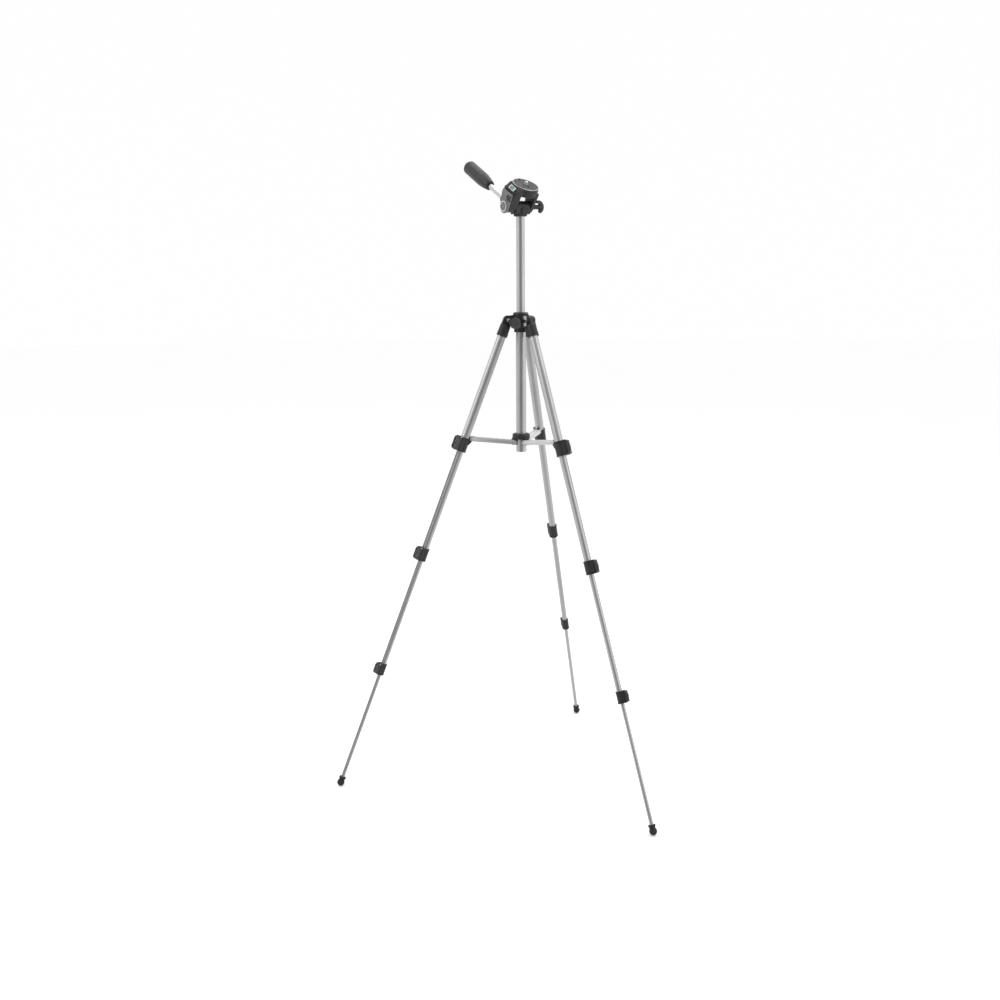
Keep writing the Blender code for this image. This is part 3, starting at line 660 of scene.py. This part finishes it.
def add_foot(leg):
    """A rubber foot with a flared cuff, a waist and a ribbed bulb."""
    matrix = leg_frame(leg)
    low, high = along(matrix, f"{leg}_foot")
    bulb, bottom, cuff = high.y, low.z, high.z
    bore = bulb * 0.52
    profile = [(bore, cuff - 0.004), (bore, cuff), (bulb * 0.86, cuff), (bulb * 0.95, cuff - 0.0006)]
    profile += [(bulb * 0.92, cuff - 0.0028), (bulb * 0.76, cuff - 0.0046), (bulb * 0.78, cuff - 0.0062)]
    profile += [(x, bottom + bulb + z) for x, z in arc((0, 0), bulb, 28, -90, 22)[:-1]]
    profile += [(0, bottom)]

    def ribs(angle, radius, z):
        on_bulb = bottom + 0.0015 < z < bottom + bulb * 1.3 and radius > bulb * 0.6
        return radius - (0.0003 * (0.5 - 0.5 * math.cos(18 * angle)) if on_bulb else 0)

    shape = lathe(profile, 72, ribs)
    made = piece(f"{leg}_foot_rubber", shape, RUBBER, matrix, f"{leg}_section_4")
    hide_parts(f"{leg}_foot")


def add_legs():
    for leg in LEGS:
        add_sleeve_rings(leg)
        for index in range(1, 4):
            add_clamp_trim(leg, index)
        # Strips of painted dark reflection down the lower tubes
        for section in range(2, 5):
            add_painted_reflection_strip(leg, section)
        add_foot(leg)


# Head

PLATFORM_RADIUS = along(SCREW, "tilt_body")[1].x
GRILLE_STEP = 0.0036
GRILLE_REACH = 0.0031
KNURL_DEPTH = 0.00045
KNURL_PITCH = 0.0022
KNURLS = 18


def add_grip():
    """A rubber grip with two knurled bands, a smooth middle, a tapered nose and an end cap."""
    low, high = along(HANDLE, "handle_grip")
    start, end, radius = low.z, high.z, high.x
    far_band = (end - 0.0185, end - 0.0075)
    near_band = (start + 0.0250, start + 0.0365)
    body_start, body_end = near_band[0], end - 0.0070
    profile = [(0.0056, start + 0.003), (0.0056, start), (0.0080, start), (0.0090, start + 0.0012)]
    profile += [(0.0102, start + 0.0070), (0.0118, start + 0.0150), (radius - 0.0009, start + 0.0215)]
    profile += [(radius - 0.0004, start + 0.0240)]
    steps = int((body_end - body_start) / 0.0006)
    profile += [(radius, body_start + (body_end - body_start) * i / steps) for i in range(steps + 1)]
    profile += [(radius - 0.0008 * i * i / 4, body_end + 0.0015 * i) for i in range(1, 5)]
    profile += [(radius * 0.55, end - 0.0003), (0, end)]

    def knurl(angle, reach, z):
        banded = any(first <= z <= last for first, last in (far_band, near_band))
        if not banded:
            return reach
        twist = z / KNURL_PITCH * math.tau / 2
        wave = math.sin(KNURLS * angle + twist) * math.sin(KNURLS * angle - twist)
        return reach - KNURL_DEPTH * (0.5 + 0.5 * wave)

    made = piece("grip_rubber", lathe(profile, 144, knurl), RUBBER_SHEEN, HANDLE, "handle", 50)
    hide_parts("handle_grip")
    cap = [(0, end + 0.0001), (radius * 0.50, end + 0.0001), (radius * 0.54, end - 0.0004)]
    cap += [(radius * 0.54, end - 0.0012), (0, end - 0.0012)]
    piece("grip_end_cap", lathe(cap, 48), BLACK, HANDLE, "handle")


def add_wing():
    """A crescent wing on a fluted shank."""
    tip = along(PANNED, "wing_knob")[1].x
    outer, inner = 0.0120, 0.0074
    start, end = 112, -64
    centre = tip - outer
    outline = arc((centre, 0), outer, start, end, 28) + arc((centre - 0.0012, 0), inner, end, start, 22)
    shape = plate(outline, -0.0037, 0.0037, bevel=0.0016, segments=4)
    shape.transform(Matrix.Rotation(math.pi / 2, 4, "X"))
    flute_start, flute_end = 0.0225, 0.0330
    profile = [(0, tip - 0.003), (0.0042, tip - 0.003), (0.0046, tip - 0.006), (0.0040, 0.0340)]
    profile += [(0.0047, 0.0326), (0.0047, 0.0224), (0.0044, 0.0220), (0, 0.0220)]

    def fluted(angle, reach, z):
        groove = 0.0005 * (0.5 - 0.5 * math.cos(12 * angle))
        return reach - (groove if flute_start < z < flute_end else 0)

    stem = lathe(profile, 72, fluted)
    stem.transform(Matrix.Rotation(math.pi / 2, 4, "Y"))
    mesh = bpy.data.meshes.new("stem")
    stem.to_mesh(mesh)
    stem.free()
    shape.from_mesh(mesh)
    bpy.data.meshes.remove(mesh)
    made = piece("tilt_wing", shape, GLOSSY, PANNED, "tilt_lock")
    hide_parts("wing_knob")


def add_platform():
    """The round pad, a pale ring round it as a painted highlight on the pad's edge, a bead and a skirt
    below, and a stop on the far edge.
    """
    radius = PLATFORM_RADIUS
    pad = rim(0.0038, radius - 0.0019, -0.0004, 0.0003, 0.0003, 0.0003)
    # A pale ring at the pad's edge: a painted highlight
    highlight_ring = [(radius - 0.0018, 0.0006), (radius - 0.0012, 0.0008), (radius - 0.0006, 0.0004)]
    highlight_ring += [(radius - 0.0006, -0.0004), (radius - 0.0018, -0.0004)]
    bead = [(radius - 0.0002, -0.0068), (radius + 0.0004, -0.0064), (radius + 0.0004, -0.0052)]
    bead += [(radius - 0.0002, -0.0048), (radius - 0.0010, -0.0058)]
    skirt = [(radius - 0.0030, -0.0010), (radius - 0.0006, -0.0010), (radius - 0.0002, -0.0030)]
    skirt += [(radius - 0.0004, -0.0140), (radius - 0.0016, -0.0156), (radius - 0.0030, -0.0156)]
    piece("platform_pad", lathe(pad, 96, closed=True), PAD, SCREW, "tilt_head")
    piece("platform_highlight_ring", lathe(highlight_ring, 128, closed=True), PALE, SCREW, "tilt_head")
    piece("platform_bead", lathe(bead, 128, closed=True), BLACK, SCREW, "tilt_head")
    piece("platform_skirt", lathe(skirt, 128, closed=True), BLACK, SCREW, "tilt_head")
    stop = plate(rounded_rectangle(0.0052, 0.0018, 0.0008), -0.0005, 0.0016, bevel=0.0005, segments=3)
    stop.transform(Matrix.Translation((0, radius - 0.0034, 0)))
    piece("platform_stop", stop, BLACK, SCREW, "tilt_head")


THREAD_PITCH = 0.00127
THREAD_DEPTH = 0.00035


def add_screw():
    """The quarter-inch camera screw, with its thread and a small hole in its flat tip."""
    low, high = along(SCREW, "camera_screw")
    radius, top, bottom = high.x, high.z, low.z
    steps = 60
    thread_start = top - 0.0007
    profile = [(0, top - 0.0008), (0.0006, top - 0.0008), (0.0008, top), (radius - 0.0007, top)]
    profile += [(radius, thread_start + (bottom - thread_start) * i / steps) for i in range(steps + 1)]
    profile += [(0, bottom)]

    def thread(angle, reach, z):
        if reach < radius - 1e-6:
            return reach
        phase = (z / THREAD_PITCH - angle / math.tau) % 1.0
        return reach - THREAD_DEPTH * abs(2 * phase - 1)

    made = piece("screw_thread", lathe(profile, 40, thread), STEEL, SCREW, "camera_screw", 60)
    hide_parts("camera_screw")


SHELF_SLOPE = math.atan2(0.0120, 0.0097)


def add_vial():
    """The white frame round the vial, on its sloping shelf."""
    low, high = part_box("bubble_vial")
    inside = TILTED.inverted() @ ((low + high) / 2)
    matrix = TILTED @ Matrix.Translation(inside) @ Matrix.Rotation(-SHELF_SLOPE, 4, "Y")
    outer, inner = rounded_rectangle(0.0078, 0.0160, 0.0012), rounded_rectangle(0.0054, 0.0124, 0.0006)
    bottom, top = 0.0018, 0.0036
    corners = ((outer, bottom), (outer, top), (inner, top), (inner, bottom))
    shape = bmesh.new()
    add_loops(shape, [[shape.verts.new((x, y, level)) for x, y in outline] for outline, level in corners])
    piece("vial_frame", shape, WHITE, matrix, "tilt_head")


def add_side_trim():
    """A bright ring and a grey cap on the side plate's boss, and a dark grille of diamonds above it."""
    face = along(TILTED, "side_plate")[0].x + 0.0012
    outward = axes_at(TILTED.translation, TILTED.col[2].xyz, TILTED.col[1].xyz, -TILTED.col[0].xyz)
    onto_face = Matrix.Translation((0, 0, -face))
    ring = [(0.0099, 0.0013), (0.0094, 0.0018), (0.0078, 0.0018), (0.0073, 0.0013)]
    ring = lathe(ring + [(0.0073, 0.0002), (0.0099, 0.0002)], 72, closed=True)
    cap = lathe([(0, 0.0009), (0.0040, 0.0009), (0.0046, 0.0004), (0.0046, -0.0004), (0, -0.0004)], 48)
    for name, shape, paint in (("side_ring", ring, PALE), ("side_cap", cap, GREY)):
        shape.transform(onto_face)
        piece(name, shape, paint, outward, "tilt_head")
    grille = bmesh.new()
    for row in range(3):
        for column in range(row % 2, 4, 2):
            centre = (0.0150 + GRILLE_STEP * row, -0.0120 + GRILLE_STEP * column)
            diamond = arc(centre, GRILLE_REACH, 0, 270, 4)
            add_plate(grille, diamond, -face - 0.0002, -face + 0.0004, bevel=0.0002, segments=1)
    piece("side_grille", grille, GLOSSY, outward, "tilt_head")


def add_pan_collar():
    """The ribbed collar where the head turns on the column."""
    spot = Matrix.Translation((COLUMN.x, COLUMN.y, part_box("pan_base")[0].z))
    shape = ribbed_ring(0.0105, 0.0122, 0.0002, 0.0060, 16, 0.0011)
    piece("pan_collar_ribs", shape, BLACK, spot, "pan_head")


def add_head():
    add_grip()
    add_wing()
    add_platform()
    add_screw()
    add_vial()
    add_side_trim()
    add_pan_collar()


# Camera, floor and light

CAMERA_DISTANCE = 2.297
CAMERA_HEIGHT = 0.978
CAMERA_PITCH = math.radians(10.54)
CAMERA_YAW = math.radians(1.017)
CAMERA_ROLL = math.radians(-0.40)
CAMERA_LENS = 44.2
SENSOR = 36.0
FLOOR_LEVEL = -0.0004
FLOOR_RADIUS = 16.0
WALL_HEIGHT = 14.0


def add_camera():
    data = bpy.data.cameras.new("camera")
    data.lens = CAMERA_LENS
    data.sensor_width = SENSOR
    camera = bpy.data.objects.new("camera", data)
    bpy.context.scene.collection.objects.link(camera)
    camera.location = (COLUMN.x, COLUMN.y - CAMERA_DISTANCE, CAMERA_HEIGHT)
    aim = Matrix.Rotation(CAMERA_YAW, 3, "Z") @ Matrix.Rotation(math.pi / 2 - CAMERA_PITCH, 3, "X")
    camera.rotation_euler = (aim @ Matrix.Rotation(CAMERA_ROLL, 3, "Z")).to_euler()
    bpy.context.scene.camera = camera


def add_floor():
    """A pale round floor, and a pale wall and roof far round it that neither light nor reflect."""
    paint = Shader("floor_paint", 0.9, specular=0.1)
    paint.colour(paint.noise((1.5, 1.5, 1.5)), tones(0.88, 0.004))
    paint.surface.inputs["Emission Color"].default_value = (1, 1, 1, 1)
    paint.surface.inputs["Emission Strength"].default_value = 0.30
    wall_paint = Shader("wall_paint", 1.0, specular=0.0)
    wall_paint.colour(wall_paint.noise((0.2, 0.2, 0.2)), tones(0.02, 0.01))
    wall_paint.surface.inputs["Emission Color"].default_value = (1, 1, 1, 1)
    wall_paint.surface.inputs["Emission Strength"].default_value = 0.98
    centre, edge = (0, FLOOR_LEVEL), (FLOOR_RADIUS, FLOOR_LEVEL)
    roof = [(FLOOR_RADIUS, WALL_HEIGHT), (0, WALL_HEIGHT)]
    floor = stage_turned("floor", [centre, edge], paint.material)
    wall = stage_turned("backdrop", [edge] + roof, wall_paint.material)
    floor.visible_glossy = False
    wall.visible_glossy = False
    wall.visible_diffuse = False
    wall.visible_shadow = False


def stage_turned(name, profile, material):
    mesh = bpy.data.meshes.new(name)
    shape = lathe(profile, 64)
    shape.to_mesh(mesh)
    shape.free()
    mesh.materials.append(material)
    made = bpy.data.objects.new(name, mesh)
    bpy.context.scene.collection.objects.link(made)
    return made


def add_area(name, place, target, size, power):
    data = bpy.data.lights.new(name, "AREA")
    data.shape = "RECTANGLE"
    data.size, data.size_y = size
    data.energy = power
    light = bpy.data.objects.new(name, data)
    bpy.context.scene.collection.objects.link(light)
    light.location = place
    light.rotation_euler = (Vector(target) - Vector(place)).to_track_quat("-Z", "Y").to_euler()


def add_light():
    """A bright room with a darker side towards the front, and four soft boxes."""
    world = bpy.data.worlds.new("studio")
    world.use_nodes = True
    nodes, links = world.node_tree.nodes, world.node_tree.links
    direction = nodes.new("ShaderNodeTexCoord").outputs["Generated"]
    parts = nodes.new("ShaderNodeSeparateXYZ")
    ramp = nodes.new("ShaderNodeMapRange")
    ramp.interpolation_type = "SMOOTHSTEP"
    darkest_at, brightest_at, darkest, brightest = -1.0, -0.40, 0.20, 0.84
    numbers = (darkest_at, brightest_at, darkest, brightest)
    for socket, number in zip(("From Min", "From Max", "To Min", "To Max"), numbers):
        ramp.inputs[socket].default_value = number
    links.new(direction, parts.inputs["Vector"])
    links.new(parts.outputs["Y"], ramp.inputs["Value"])
    background = nodes["Background"]
    background.inputs["Color"].default_value = (1, 1, 1, 1)
    links.new(ramp.outputs["Result"], background.inputs["Strength"])
    bpy.context.scene.world = world
    target = (0, 0, 0.6)
    add_area("key", (-2.4, -1.4, 2.4), target, (1.8, 2.6), 17)
    add_area("fill", (2.4, -1.0, 1.6), target, (1.6, 2.6), 10)
    add_area("rim", (1.5, 1.8, 3.0), (0, 0, 1.1), (0.7, 0.7), 9)
    add_area("top", (0.2, 0.6, 3.2), target, (2.6, 2.6), 18)
    bpy.context.scene.view_settings.view_transform = "Standard"


def main():
    dress_cad()
    add_spreader()
    add_crown()
    add_legs()
    add_head()
    add_camera()
    add_floor()
    add_light()


main()
